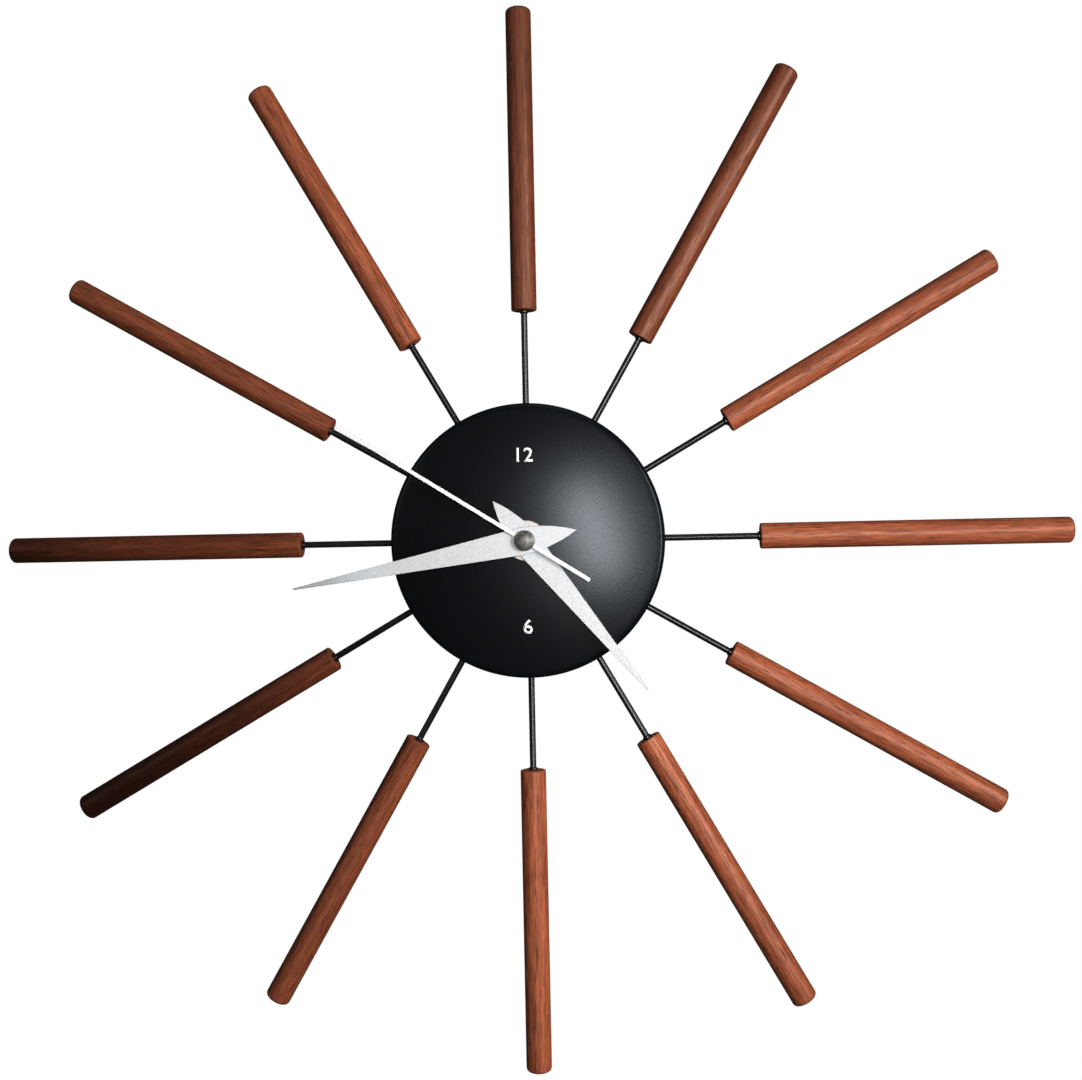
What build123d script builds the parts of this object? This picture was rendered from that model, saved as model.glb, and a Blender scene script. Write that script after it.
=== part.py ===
from build123d import *
from math import cos, pi, radians, sin, sqrt
import os

# Sunburst wall clock: a black domed hub on twelve steel rods that carry wooden dowels,
# with a battery quartz movement and three hands. Lengths are in millimetres.
#
# The pieces are drawn in the dial's own frame: X to the viewer's right, Y up, and Z out of the
# wall towards the viewer, with the wall at Z = 0 and the hands' axis on Z. The last step
# turns every piece into the row frame, where Z is up and the dial faces -Y.

# ------------------------------------------------------------------ driving dimensions
HOURS = 12
OVERALL_RADIUS = 250.0
DOWEL_DIAMETER = 12.0
DOWEL_LENGTH = 142.0
ROD_DIAMETER = 3.0
SPOKE_DEPTH = 8.0            # height of the rods' axes over the wall
HUB_RADIUS = 63.75
SHEET = 1.0                  # thickness of the dome's sheet steel
DOME_RADIUS = 341.0          # radius of the dome's sphere
DOME_TOP = 25.0              # depth of the dome's crown
RIM_FILLET = 3.0
HOUR_REACH = 87.5
HOUR_TAIL = 23.6
HOUR_WIDTH = 12.4
MINUTE_REACH = 109.0
MINUTE_TAIL = 24.2
MINUTE_WIDTH = 12.6
SECOND_REACH = 101.0
SECOND_TAIL = 34.4
SECOND_WIDTH = 1.85
HOUR_ANGLE = 141.6           # clockwise from twelve, as the clock is stored
MINUTE_ANGLE = 259.3
SECOND_ANGLE = 302.3
CASE_SIZE = 56.0             # the movement's square case
CASE_DEPTH = 16.0
CASE_FRONT = 21.0            # depth of the case's front face

# ------------------------------------------------------------------ other named sizes
DOWEL_ROUND = 1.9            # rounding of the dowel's outer end
DOWEL_CHAMFER = 0.4          # broken edge of its inner end
SOCKET_DEPTH = 25.0          # blind hole in the dowel
FIT_GAP = 0.05               # radial clearance of running and glued fits
LOOSE_GAP = 0.1
COLLAR_RADIUS = 2.1          # shoulder of the rod under the dowel
COLLAR_LENGTH = 1.2
ROD_INNER_END = 49.6
CARRIER_INNER = 52.5         # carrier ring that the rods screw through
CARRIER_OUTER = 62.5
CARRIER_FRONT = 13.0
NUT_FLATS = 5.5
NUT_LENGTH = 2.4
DOME_BACK = 0.4
DOME_HOLE = 4.3
PLATE_RADIUS = 62.4
PLATE = 2.0
SCREW_CIRCLE = 57.5
SCREW_HEAD = 2.9
SCREW_SHANK = 1.45
SCREW_LENGTH = 9.0
KEYHOLE_Y = 35.5
KEYHOLE_RADIUS = 4.25
KEYHOLE_SLOT = 4.4
KEYHOLE_RISE = 8.5
BUSH_RADIUS = 4.0
BUSH_TOP = 27.1
WASHER_RADIUS = 9.3
WASHER = 0.5
HEX_FLATS = 13.0
HEX_LENGTH = 1.8
HAND_SHEET = 0.5
HAND_TIP = 0.8               # width of a dart hand's blunt tip
HAND_SHOULDER = 2.0          # its widest place, forward of the axis
HOUR_LEVEL = 28.0            # back face of the hour hand's plate
MINUTE_LEVEL = 29.8
SECOND_LEVEL = 31.6
SECOND_SHEET = 0.35
CAP_RADIUS = 4.65
CAP_WALL = 1.0
CAP_TOP = 34.1
COLLET_RADIUS = 3.6
SPIGOT_RADIUS = 2.95

# movement, measured back from the case's front face
WALL = 1.2
LEVEL = {
    "hour": (1.8, 2.8),
    "minute_pinion": (1.6, 3.0),
    "minute": (3.6, 4.6),
    "cannon": (3.4, 4.8),
    "centre": (5.6, 6.6),
    "third_pinion": (5.4, 6.8),
    "third": (7.6, 8.6),
    "second_pinion": (7.4, 8.8),
    "second": (9.6, 10.4),
    "intermediate_pinion": (9.4, 10.6),
    "intermediate": (11.4, 12.2),
    "rotor_pinion": (11.2, 12.4),
    "magnet": (4.8, 7.2),
    "stator": (5.6, 6.4),
    "core": (4.8, 5.6),
    "bridge": (13.2, 14.0),
    "cover": (14.8, 16.0),
    "board": (2.6, 3.4),
}
MOTION_MODULE = 0.3125       # cannon pinion, minute wheel and setting gear
HOUR_MODULE = 0.3
CENTRE_MODULE = 0.25
THIRD_MODULE = 9.0 / 34
SECOND_MODULE = 0.375
ROTOR_MODULE = 0.25
ROTOR_PINION = 8             # tooth counts, from the rotor to the hour wheel
INTERMEDIATE_WHEEL = 48
INTERMEDIATE_PINION = 8
SECOND_WHEEL = 40
SECOND_PINION = 8
THIRD_WHEEL = 60
THIRD_PINION = 8
CENTRE_WHEEL = 64
CANNON_PINION = 12
MINUTE_WHEEL = 36
MINUTE_PINION = 10
HOUR_WHEEL = 40
SETTING_GEAR = 18
ADDENDUM = 0.8               # tooth proportions, in modules
DEDENDUM = 1.2
TIP_SHARE = 0.22             # tooth thickness as a share of the pitch, at the tip,
PITCH_SHARE = 0.38           # at the pitch circle
ROOT_SHARE = 0.52            # and at the root
ARBOR = 0.5
PIVOT = 0.3
SECOND_ARBOR = 0.5
HUB_SLEEVE = 0.72            # sleeve between a wheel and its pinion
MINUTE_SLEEVE = 1.1
CANNON_RADIUS = 1.5
HOUR_TUBE = 2.5
BAY_TOP = -11.6              # top of the battery bay, seen from the centre
BATTERY_RADIUS = 7.15
BATTERY_LENGTH = 49.2
NUB_RADIUS = 2.75
NUB_LENGTH = 1.3
STRIP = 0.3                  # thickness of the battery contacts
COIL_RADIUS = 3.6
COIL_LENGTH = 15.0
COIL_HEIGHT = 22.2
POSTS = [(-13.0, -7.5), (14.0, -7.8), (-7.5, 16.0), (19.5, 14.0)]
POST_RADIUS = 1.2
PEG_RADIUS = 0.7

MIN = (Align.CENTER, Align.CENTER, Align.MIN)
CORNER = (Align.MIN, Align.MIN, Align.MIN)


# ------------------------------------------------------------------ shared shapes
def disc(radius, back, front, hole=0.0):
    """Round plate, pin or tube on the hands' axis between two depths."""
    body = Pos(0, 0, back) * Cylinder(radius, front - back, align=MIN)
    if hole:
        body -= Pos(0, 0, back) * Cylinder(hole, front - back, align=MIN)
    return body


def block(low, high):
    """Box between two opposite corners."""
    size = [top - bottom for bottom, top in zip(low, high)]
    return Pos(*low) * Box(*size, align=CORNER)


def clock_point(radius, angle):
    """Point at a radius and an angle clockwise from twelve."""
    return radius * sin(radians(angle)), radius * cos(radians(angle))


def polar_point(centre, distance, angle):
    """Point at a distance from another, counter-clockwise from the viewer's right."""
    x = centre[0] + distance * cos(radians(angle))
    y = centre[1] + distance * sin(radians(angle))
    return x, y


def case_depth(level):
    """Back and front depth of a level that is measured back from the case's front."""
    near, far = LEVEL[level] if isinstance(level, str) else level
    return CASE_FRONT - far, CASE_FRONT - near


def radial(shape, angle):
    """Turn a shape that lies along +Z out to an hour, at the rods' depth."""
    return (Pos(0, 0, SPOKE_DEPTH) * (Rot(-90, 0, 0) * shape)).rotate(Axis.Z, -angle)


def tooth_ring(teeth, module, level, facing, tooth_there):
    """Toothed disc whose tooth, or gap, points at an angle."""
    pitch_radius = teeth * module / 2
    half_step = 180.0 / teeth
    root = pitch_radius - DEDENDUM * module
    tip = pitch_radius + ADDENDUM * module
    flank = ((root, ROOT_SHARE), (pitch_radius, PITCH_SHARE), (tip, TIP_SHARE))
    corners = [(radius, -share) for radius, share in flank]
    corners += [(radius, share) for radius, share in reversed(flank)]
    start = facing if tooth_there else facing + half_step
    points = []
    for tooth in range(teeth):
        middle = start + tooth * 2 * half_step
        for radius, share in corners:
            points.append(polar_point((0, 0), radius, middle + share * half_step))
    back, front = case_depth(level)
    outline = make_face(Polyline(*points, close=True))
    return Pos(0, 0, back) * extrude(outline, front - back)


def arbor(back, front):
    """Arbor with a thinner pivot in the front wall and one through the bridge."""
    front_pivot = disc(PIVOT, front, front + 0.6)
    back_pivot = disc(PIVOT, back - 0.8, back)
    return disc(ARBOR, back, front) + front_pivot + back_pivot


# ------------------------------------------------------------------ gear train centres
CENTRE = (0.0, 0.0)
THIRD_ANGLE = 150.0
INTERMEDIATE_ANGLE = 60.0
ROTOR_ANGLE = 75.0
MINUTE_WHEEL_ANGLE = -30.0
SETTING_ANGLE = 20.0


def mesh_distance(wheel, pinion, module):
    """Distance between the centres of two gears in mesh."""
    return (wheel + pinion) * module / 2


THIRD = polar_point(CENTRE, mesh_distance(CENTRE_WHEEL, THIRD_PINION, CENTRE_MODULE), THIRD_ANGLE)
INTERMEDIATE = polar_point(
    CENTRE, mesh_distance(SECOND_WHEEL, INTERMEDIATE_PINION, SECOND_MODULE), INTERMEDIATE_ANGLE
)
ROTOR = polar_point(
    INTERMEDIATE, mesh_distance(INTERMEDIATE_WHEEL, ROTOR_PINION, ROTOR_MODULE), ROTOR_ANGLE
)
MINUTE = polar_point(
    CENTRE, mesh_distance(MINUTE_WHEEL, CANNON_PINION, MOTION_MODULE), MINUTE_WHEEL_ANGLE
)
SETTING = polar_point(
    MINUTE, mesh_distance(MINUTE_WHEEL, SETTING_GEAR, MOTION_MODULE), SETTING_ANGLE
)
BRIDGE_FRONT = case_depth("bridge")[1]
WALL_BACK = CASE_FRONT - WALL
CASE_BACK = CASE_FRONT - CASE_DEPTH


# ------------------------------------------------------------------ spokes
def wood_dowel(angle):
    """Turned dowel with a domed outer end, a broken inner edge and a socket for the rod."""
    radius = DOWEL_DIAMETER / 2
    inner = OVERALL_RADIUS - DOWEL_LENGTH
    stick = Cylinder(radius, DOWEL_LENGTH, align=MIN)
    stick = fillet(stick.edges().filter_by(GeomType.CIRCLE).sort_by(Axis.Z)[-1], DOWEL_ROUND)
    stick = chamfer(stick.edges().filter_by(GeomType.CIRCLE).sort_by(Axis.Z)[0], DOWEL_CHAMFER)
    stick -= Cylinder(ROD_DIAMETER / 2 + FIT_GAP, SOCKET_DEPTH, align=MIN)
    return radial(Pos(0, 0, inner) * stick, angle)


def spoke_rod(angle):
    """Steel rod from inside the carrier ring to the bottom of the dowel's socket."""
    inner = OVERALL_RADIUS - DOWEL_LENGTH
    outer = inner + SOCKET_DEPTH - 0.5
    rod = Cylinder(ROD_DIAMETER / 2, outer - ROD_INNER_END, align=MIN)
    rod = chamfer(rod.edges().filter_by(GeomType.CIRCLE), 0.3)
    collar = Cylinder(COLLAR_RADIUS, COLLAR_LENGTH, align=MIN)
    collar = chamfer(collar.edges().filter_by(GeomType.CIRCLE).sort_by(Axis.Z)[0], 0.35)
    rod = Pos(0, 0, ROD_INNER_END) * rod + Pos(0, 0, inner - COLLAR_LENGTH) * collar
    return radial(rod, angle)


def rod_nuts():
    """Twelve hexagon nuts that pull the rods against the carrier ring."""
    across_corners = NUT_FLATS / 2 / cos(pi / 6)
    nut = extrude(RegularPolygon(across_corners, 6), NUT_LENGTH)
    nut -= Cylinder(ROD_DIAMETER / 2 + FIT_GAP, NUT_LENGTH, align=MIN)
    nut = Pos(0, 0, CARRIER_INNER - NUT_LENGTH - FIT_GAP) * nut
    return [radial(nut, hour * 360 / HOURS) for hour in range(HOURS)]


def radial_holes(body, hole, inner, outer):
    """Drill one hole for every rod through a ring."""
    drill = Pos(0, 0, inner) * Cylinder(hole, outer - inner, align=MIN)
    for hour in range(HOURS):
        body -= radial(drill, hour * 360 / HOURS)
    return body


def carrier_ring():
    """Ring inside the skirt that holds the rods, with a flat under every nut."""
    ring = disc(CARRIER_OUTER, PLATE, CARRIER_FRONT, CARRIER_INNER - 1.0)
    across = NUT_FLATS / cos(pi / 6) + 1.0
    pocket = Pos(0, 0, CARRIER_INNER - 2.0) * Box(across, across, 2.0, align=MIN)
    for hour in range(HOURS):
        ring -= radial(pocket, hour * 360 / HOURS)
    ring = radial_holes(ring, ROD_DIAMETER / 2 + FIT_GAP, CARRIER_INNER - 3, CARRIER_OUTER + 1)
    for x, y in screw_points():
        pilot = Pos(x, y, PLATE) * Cylinder(SCREW_SHANK + FIT_GAP, SCREW_LENGTH, align=MIN)
        ring -= pilot
    return ring


# ------------------------------------------------------------------ hub shell
def dome_profile(inset):
    """Wall line of the dome: skirt, rolled edge and spherical crown, inset from the outside."""
    skirt = HUB_RADIUS - inset
    sphere = DOME_RADIUS - inset
    edge = RIM_FILLET - inset
    sphere_centre = DOME_TOP - DOME_RADIUS
    edge_x = skirt - edge
    edge_z = sphere_centre + sqrt((sphere - edge) ** 2 - edge_x**2)
    touch_x = edge_x * sphere / (sphere - edge)
    touch_z = sphere_centre + (edge_z - sphere_centre) * sphere / (sphere - edge)
    middle = (touch_x - edge_x + edge) / 2, (touch_z - edge_z) / 2
    reach = edge / sqrt(middle[0] ** 2 + middle[1] ** 2)
    edge_middle = edge_x + middle[0] * reach, edge_z + middle[1] * reach
    hole_z = sphere_centre + sqrt(sphere**2 - DOME_HOLE**2)
    half_x = (touch_x + DOME_HOLE) / 2
    crown_middle = half_x, sphere_centre + sqrt(sphere**2 - half_x**2)
    skirt_line = Line((skirt, DOME_BACK), (skirt, edge_z))
    edge_arc = ThreePointArc((skirt, edge_z), edge_middle, (touch_x, touch_z))
    crown_arc = ThreePointArc((touch_x, touch_z), crown_middle, (DOME_HOLE, hole_z))
    return [skirt_line, edge_arc, crown_arc]


def dial_dome():
    """Pressed steel dome with its skirt, a centre hole and twelve holes for the rods."""
    outside = dome_profile(0.0)
    inside = dome_profile(SHEET)
    hem = Line(outside[0] @ 0, inside[0] @ 0)
    lip = Line(outside[2] @ 1, inside[2] @ 1)
    section = make_face(Curve() + outside + inside + hem + lip)
    shell = revolve(Rot(90, 0, 0) * section, Axis.Z)
    return radial_holes(shell, ROD_DIAMETER / 2 + LOOSE_GAP, HUB_RADIUS - 4, HUB_RADIUS + 2)


def screw_points():
    """Four screw places between the rods."""
    return [clock_point(SCREW_CIRCLE, angle) for angle in (45, 135, 225, 315)]


def countersunk(radius, shank, length, gap):
    """Flush screw, head down on the wall side; the same shape with a gap cuts its hole."""
    head = Cone(radius + gap, shank + gap, radius - shank, align=MIN)
    return head + Cylinder(shank + gap, length, align=MIN)


def back_plate():
    """Flat disc over the hub's back, with the keyhole, the battery window and the knob hole."""
    plate = disc(PLATE_RADIUS, 0, PLATE)
    for x, y in screw_points():
        plate -= Pos(x, y, 0) * countersunk(SCREW_HEAD, SCREW_SHANK, PLATE, LOOSE_GAP)
    plate -= Pos(0, KEYHOLE_Y, 0) * Cylinder(KEYHOLE_RADIUS, PLATE, align=MIN)
    slot_low = (-KEYHOLE_SLOT / 2, KEYHOLE_Y, 0)
    slot_high = (KEYHOLE_SLOT / 2, KEYHOLE_Y + KEYHOLE_RISE, PLATE)
    plate -= block(slot_low, slot_high)
    plate -= Pos(0, KEYHOLE_Y + KEYHOLE_RISE, 0) * Cylinder(KEYHOLE_SLOT / 2, PLATE, align=MIN)
    window = Pos(0, BAY_CENTRE, 0) * Box(CASE_SIZE - 3, 2 * BATTERY_RADIUS + 1, PLATE, align=MIN)
    plate -= fillet(window.edges().filter_by(Axis.Z), 2.0)
    plate -= Pos(*SETTING, 0) * Cylinder(KNOB_RADIUS + 2.5, PLATE, align=MIN)
    return plate


def back_plate_screws():
    """Four flush self-tapping screws with a cross recess."""
    recess = Box(2.6, 0.6, 0.8, align=MIN) + Box(0.6, 2.6, 0.8, align=MIN)
    screw = countersunk(SCREW_HEAD, SCREW_SHANK, SCREW_LENGTH, 0.0) - recess
    return [Pos(x, y, 0) * screw for x, y in screw_points()]


def centre_nut():
    """Thin hexagon nut that clamps the dome to the movement's bush."""
    corners = HEX_FLATS / 2 / cos(pi / 6)
    back = DOME_TOP + WASHER
    nut = Pos(0, 0, back) * extrude(RegularPolygon(corners, 6), HEX_LENGTH)
    nut &= Pos(0, 0, back) * chamfered_disc(corners - 0.05, HEX_LENGTH, 0.4)
    return nut - disc(BUSH_RADIUS + FIT_GAP, back, back + HEX_LENGTH)


def chamfered_disc(radius, height, edge):
    """Disc with a broken front edge."""
    body = Cylinder(radius, height, align=MIN)
    return chamfer(body.edges().filter_by(GeomType.CIRCLE).sort_by(Axis.Z)[-1], edge)


def centre_washer():
    """Brass washer under the nut."""
    washer = Pos(0, 0, DOME_TOP) * chamfered_disc(WASHER_RADIUS, WASHER, 0.12)
    return washer - disc(BUSH_RADIUS + LOOSE_GAP, DOME_TOP, DOME_TOP + WASHER)


def rubber_washer():
    """Rubber ring between the movement and the dome's inside."""
    return disc(11.0, CASE_FRONT, DOME_TOP - SHEET - 0.2, BUSH_RADIUS + LOOSE_GAP)


# ------------------------------------------------------------------ hands
def dart_outline(reach, tail, width):
    """Slim straight-sided dart with a leaf-shaped tail; it points up, the axis at the origin."""
    half = width / 2
    tip = HAND_TIP / 2
    tail_middle = 0.73 * half, HAND_SHOULDER - 0.507 * (HAND_SHOULDER + tail)
    right_edge = Line((tip, reach), (half, HAND_SHOULDER))
    right_tail = ThreePointArc((half, HAND_SHOULDER), tail_middle, (0, -tail))
    left_edge = mirror(right_edge, Plane.YZ)
    left_tail = mirror(right_tail, Plane.YZ)
    point = Line((-tip, reach), (tip, reach))
    return make_face(Curve() + [right_edge, right_tail, left_edge, left_tail, point])


def dart_hand(reach, tail, width, level, angle):
    """Stamped aluminium hand with a round hole for its collet."""
    outline = dart_outline(reach, tail, width)
    hand = Pos(0, 0, level) * extrude(outline, HAND_SHEET)
    hand -= disc(SPIGOT_RADIUS, level, level + HAND_SHEET)
    return hand.rotate(Axis.Z, -angle)


def collet(bore, back, level):
    """Flanged bush riveted into a hand, pressed on its tube."""
    flange = disc(COLLET_RADIUS, back, level)
    spigot = disc(SPIGOT_RADIUS, level, level + HAND_SHEET)
    return flange + spigot - disc(bore + 0.02, back, level + HAND_SHEET)


def second_hand():
    """Narrow baton with a square tail and a small socket for the seconds arbor."""
    back = SECOND_LEVEL
    tip = SECOND_WIDTH * 0.44
    root = SECOND_WIDTH / 2
    outline = Polyline(
        (-tip, SECOND_REACH),
        (tip, SECOND_REACH),
        (root, 0),
        (root, -SECOND_TAIL),
        (-root, -SECOND_TAIL),
        (-root, 0),
        close=True,
    )
    baton = Pos(0, 0, back) * extrude(make_face(outline), SECOND_SHEET)
    baton += disc(3.2, back, back + SECOND_SHEET)
    baton += disc(1.1, back - 0.9, back)
    baton -= disc(SECOND_ARBOR + 0.02, back - 0.9, back + SECOND_SHEET)
    return baton.rotate(Axis.Z, -SECOND_ANGLE)


def second_hand_cap():
    """Domed metal cap over the seconds arbor."""
    back = SECOND_LEVEL + SECOND_SHEET
    rise = CAP_TOP - back - CAP_WALL
    sphere = (CAP_RADIUS**2 + rise**2) / (2 * rise)
    body = disc(CAP_RADIUS, back, CAP_TOP)
    body &= Pos(0, 0, CAP_TOP - sphere) * Sphere(sphere)
    rims = body.edges().filter_by(lambda edge: edge.geom_type == GeomType.CIRCLE)
    rims = rims.filter_by(lambda edge: abs(edge.center().Z - back - CAP_WALL) < 0.01)
    body = fillet(rims, 0.2)
    return body - disc(SECOND_ARBOR + 0.05, back, back + 0.9)


# ------------------------------------------------------------------ movement case
BAY_CENTRE = (BAY_TOP - CASE_SIZE / 2 + WALL) / 2
KNOB_RADIUS = 4.5


def movement_case():
    """Moulded tub with the threaded bush, the battery bay's wall and the train's posts."""
    half = CASE_SIZE / 2
    tub = block((-half, -half, CASE_BACK), (half, half, CASE_FRONT))
    tub = fillet(tub.edges().filter_by(Axis.Z), 3.0)
    inner = half - WALL
    upper = block((-inner, BAY_TOP + WALL, CASE_BACK), (inner, inner, WALL_BACK))
    upper = fillet(upper.edges().filter_by(Axis.Z), 1.0)
    bay = block((-inner, -inner, CASE_BACK), (inner, BAY_TOP, WALL_BACK))
    tub = tub - upper - bay
    for x, y in POSTS:
        tub += Pos(x, y, 0) * disc(POST_RADIUS, BRIDGE_FRONT, WALL_BACK)
        tub += Pos(x, y, 0) * disc(PEG_RADIUS, BRIDGE_FRONT - 0.8, BRIDGE_FRONT)
    minute_post = disc(0.8, case_depth("minute")[0] - 0.2, WALL_BACK)
    tub += Pos(*MINUTE, 0) * minute_post
    tub += disc(BUSH_RADIUS, CASE_FRONT, BUSH_TOP)
    tub -= disc(HOUR_TUBE + FIT_GAP, WALL_BACK, BUSH_TOP)
    for x, y in (THIRD, INTERMEDIATE, ROTOR):
        tub -= Pos(x, y, WALL_BACK) * Cylinder(PIVOT + FIT_GAP, 0.7, align=MIN)
    tub -= Pos(*SETTING, WALL_BACK) * Cylinder(0.6 + FIT_GAP, 0.7, align=MIN)
    catch_back, catch_front = case_depth((15.0, 15.8))
    for side in (-1, 1):
        window = Pos(side * half, 8, catch_back) * Box(4, 8.2, 0.8, align=MIN)
        tub -= window
    for side in (-1, 1):
        low_x, high_x = sorted((side * inner, side * (inner - 1.5)))
        tub -= block((low_x, BAY_TOP, CASE_BACK), (high_x, BAY_TOP + WALL + 1.2, WALL_BACK))
    return tub


def movement_cover():
    """Cover over the gear train that snaps into the side walls with two tabs."""
    inner = CASE_SIZE / 2 - WALL - LOOSE_GAP
    back, front = case_depth("cover")
    plate = block((-inner, BAY_TOP + WALL + LOOSE_GAP, back), (inner, inner, front))
    plate = fillet(plate.edges().filter_by(Axis.Z), 1.0)
    tab_back = case_depth((15.05, 15.75))
    for side in (-1, 1):
        plate += Pos(side * inner, 8, tab_back[0]) * Box(1.6, 8.0, 0.7, align=MIN)
    return plate - Pos(*SETTING, back) * Cylinder(1.0 + FIT_GAP, front - back, align=MIN)


def train_bridge():
    """Brass plate that carries the arbors' back pivots on the case's posts."""
    back, front = case_depth("bridge")
    plate = block((-15.5, -9.8, back), (22.0, 18.6, front))
    plate = fillet(plate.edges().filter_by(Axis.Z), 2.5)
    for x, y in POSTS:
        plate -= Pos(x, y, back) * Cylinder(PEG_RADIUS + FIT_GAP, front - back, align=MIN)
    for x, y in (THIRD, INTERMEDIATE, ROTOR):
        plate -= Pos(x, y, back) * Cylinder(PIVOT + FIT_GAP, front - back, align=MIN)
    plate -= Pos(0, 0, back) * Cylinder(PIVOT + FIT_GAP, front - back, align=MIN)
    plate -= Pos(*SETTING, back) * Cylinder(1.0 + FIT_GAP, front - back, align=MIN)
    return plate


# ------------------------------------------------------------------ electrics
BATTERY_DEPTH = WALL_BACK - BATTERY_RADIUS - 0.2
BATTERY_LEFT = -CASE_SIZE / 2 + WALL + STRIP + 1.9


def battery():
    """Round cell lying across the bay, its nub to the right."""
    cell = Cylinder(BATTERY_RADIUS, BATTERY_LENGTH, align=MIN)
    cell = fillet(cell.edges().filter_by(GeomType.CIRCLE), 0.6)
    nub = Pos(0, 0, BATTERY_LENGTH) * Cylinder(NUB_RADIUS, NUB_LENGTH, align=MIN)
    return Pos(BATTERY_LEFT, BAY_CENTRE, BATTERY_DEPTH) * (Rot(0, 90, 0) * (cell + nub))


def contact(side, spring):
    """Nickel-plated strip at one end of the bay, with its lead beside the case's wall."""
    wall = side * (CASE_SIZE / 2 - WALL - STRIP)
    strip_low, strip_high = sorted((wall, wall + side * STRIP))
    low_y = -CASE_SIZE / 2 + WALL + 1.5
    back = CASE_BACK + 2.5
    leaf = block((strip_low, low_y, back), (strip_high, BAY_TOP - 0.6, WALL_BACK - 0.2))
    lead_back = WALL_BACK - 4.0
    lead = block((strip_low, BAY_TOP - 1.0, lead_back), (strip_high, 10.0, WALL_BACK - 0.2))
    board_front = case_depth("board")[1]
    foot = block((-26.5, 8.0, board_front), (-23.0, 10.0, board_front + STRIP))
    if spring:
        arc = ThreePointArc((0, -4), (1.85, 0), (0, 4))
        bow = make_face(Curve() + [arc, ThreePointArc((0, -3.4), (1.55, 0), (0, 3.4))]
                        + [Line((0, -4), (0, -3.4)), Line((0, 3.4), (0, 4))])
        bow = Pos(strip_high, BAY_CENTRE, BATTERY_DEPTH - 2) * extrude(bow, 4)
        return leaf + lead + foot + bow
    lead = block((strip_low, BAY_TOP - 1.0, lead_back), (strip_high, BAY_TOP + 1.6, WALL_BACK - 0.2))
    run_y = BAY_TOP + WALL + 0.1
    run = block((-18.0, run_y, board_front), (strip_high, run_y + STRIP, board_front + 1.0))
    tail = block((-18.0, run_y, board_front), (-16.0, 8.0, board_front + STRIP))
    return leaf + lead + run + tail


def circuit_board():
    """Small board beside the coil, with a hole for each crystal lead."""
    back, front = case_depth("board")
    board = block((-26.3, 5.5, back), (-9.6, 26.0, front))
    for x in (-22.6, -21.4):
        board -= Pos(x, 22.8, back) * Cylinder(0.3, front - back, align=MIN)
    return board


def control_chip():
    """Drop of black resin over the control chip."""
    back = case_depth("board")[0]
    drop = Sphere(5.0) & Pos(0, 0, -5.0) * Cylinder(2.9, 1.0, align=MIN)
    return Pos(-15.5, 14.0, back + 3.9) * drop


def quartz_crystal():
    """Slim metal can lying on the board, with its two leads through it."""
    back, front = case_depth("board")
    can = Rot(90, 0, 0) * Cylinder(1.0, 6.2, align=MIN)
    can = fillet(can.edges().filter_by(GeomType.CIRCLE), 0.2)
    crystal = Pos(-22.0, 21.6, back - 1.05) * can
    for side in (-0.6, 0.6):
        lead = block((-0.15, -1.3, -1.2), (0.15, 0.15, -0.9))
        leg = block((-0.15, -0.15, -1.2), (0.15, 0.15, front - back))
        crystal += Pos(-22.0 + side, 22.8, back) * (lead + leg)
    return crystal


def coil_core():
    """Iron bar through the coil, flat on the stator's ears."""
    back, front = case_depth("core")
    x = ROTOR[0]
    return block((x - 10.6, COIL_HEIGHT - 1.2, back), (x + 10.6, COIL_HEIGHT + 1.2, front))


def coil_winding():
    """Coil of fine copper wire between two flanges."""
    depth = sum(case_depth("core")) / 2
    winding = Cylinder(COIL_RADIUS, COIL_LENGTH)
    groove = Cylinder(COIL_RADIUS, COIL_LENGTH - 1.6) - Cylinder(COIL_RADIUS - 0.4, COIL_LENGTH - 1.6)
    winding = Rot(0, 90, 0) * (winding - groove)
    winding = Pos(ROTOR[0], COIL_HEIGHT, depth) * winding
    slot = Pos(ROTOR[0], COIL_HEIGHT, depth) * Box(COIL_LENGTH, 2.5, 0.9)
    return winding - slot


def stator():
    """Flat iron yoke around the rotor's magnet, with an ear to each end of the coil."""
    back, front = case_depth("stator")
    x, y = ROTOR
    yoke = block((x - 11, y - 3.8, back), (x + 11, y + 3.8, front))
    for side in (-1, 1):
        edge = sorted((x + side * 11, x + side * 8))
        yoke += block((edge[0], y, back), (edge[1], COIL_HEIGHT + 1.6, front))
    yoke -= Pos(x, y, back) * Cylinder(MAGNET_RADIUS + 0.5, front - back, align=MIN)
    return yoke


# ------------------------------------------------------------------ wheels
MAGNET_RADIUS = 2.5


def third_wheel():
    """Plastic wheel and pinion between the centre wheel and the seconds pinion."""
    body = tooth_ring(THIRD_WHEEL, THIRD_MODULE, "third", THIRD_ANGLE + 180, False)
    body += tooth_ring(THIRD_PINION, CENTRE_MODULE, "third_pinion", THIRD_ANGLE + 180, True)
    body += arbor(BRIDGE_FRONT, WALL_BACK)
    return Pos(*THIRD, 0) * body


def intermediate_wheel():
    """Plastic wheel and pinion between the rotor and the seconds wheel."""
    body = tooth_ring(INTERMEDIATE_WHEEL, ROTOR_MODULE, "intermediate", ROTOR_ANGLE, False)
    facing = INTERMEDIATE_ANGLE + 180
    body += tooth_ring(
        INTERMEDIATE_PINION, SECOND_MODULE, "intermediate_pinion", facing, True
    )
    body += arbor(BRIDGE_FRONT, WALL_BACK)
    return Pos(*INTERMEDIATE, 0) * body


def rotor_pinion():
    """Rotor's plastic pinion and arbor."""
    body = tooth_ring(ROTOR_PINION, ROTOR_MODULE, "rotor_pinion", ROTOR_ANGLE + 180, True)
    body += arbor(BRIDGE_FRONT, WALL_BACK)
    return Pos(*ROTOR, 0) * body


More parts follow.
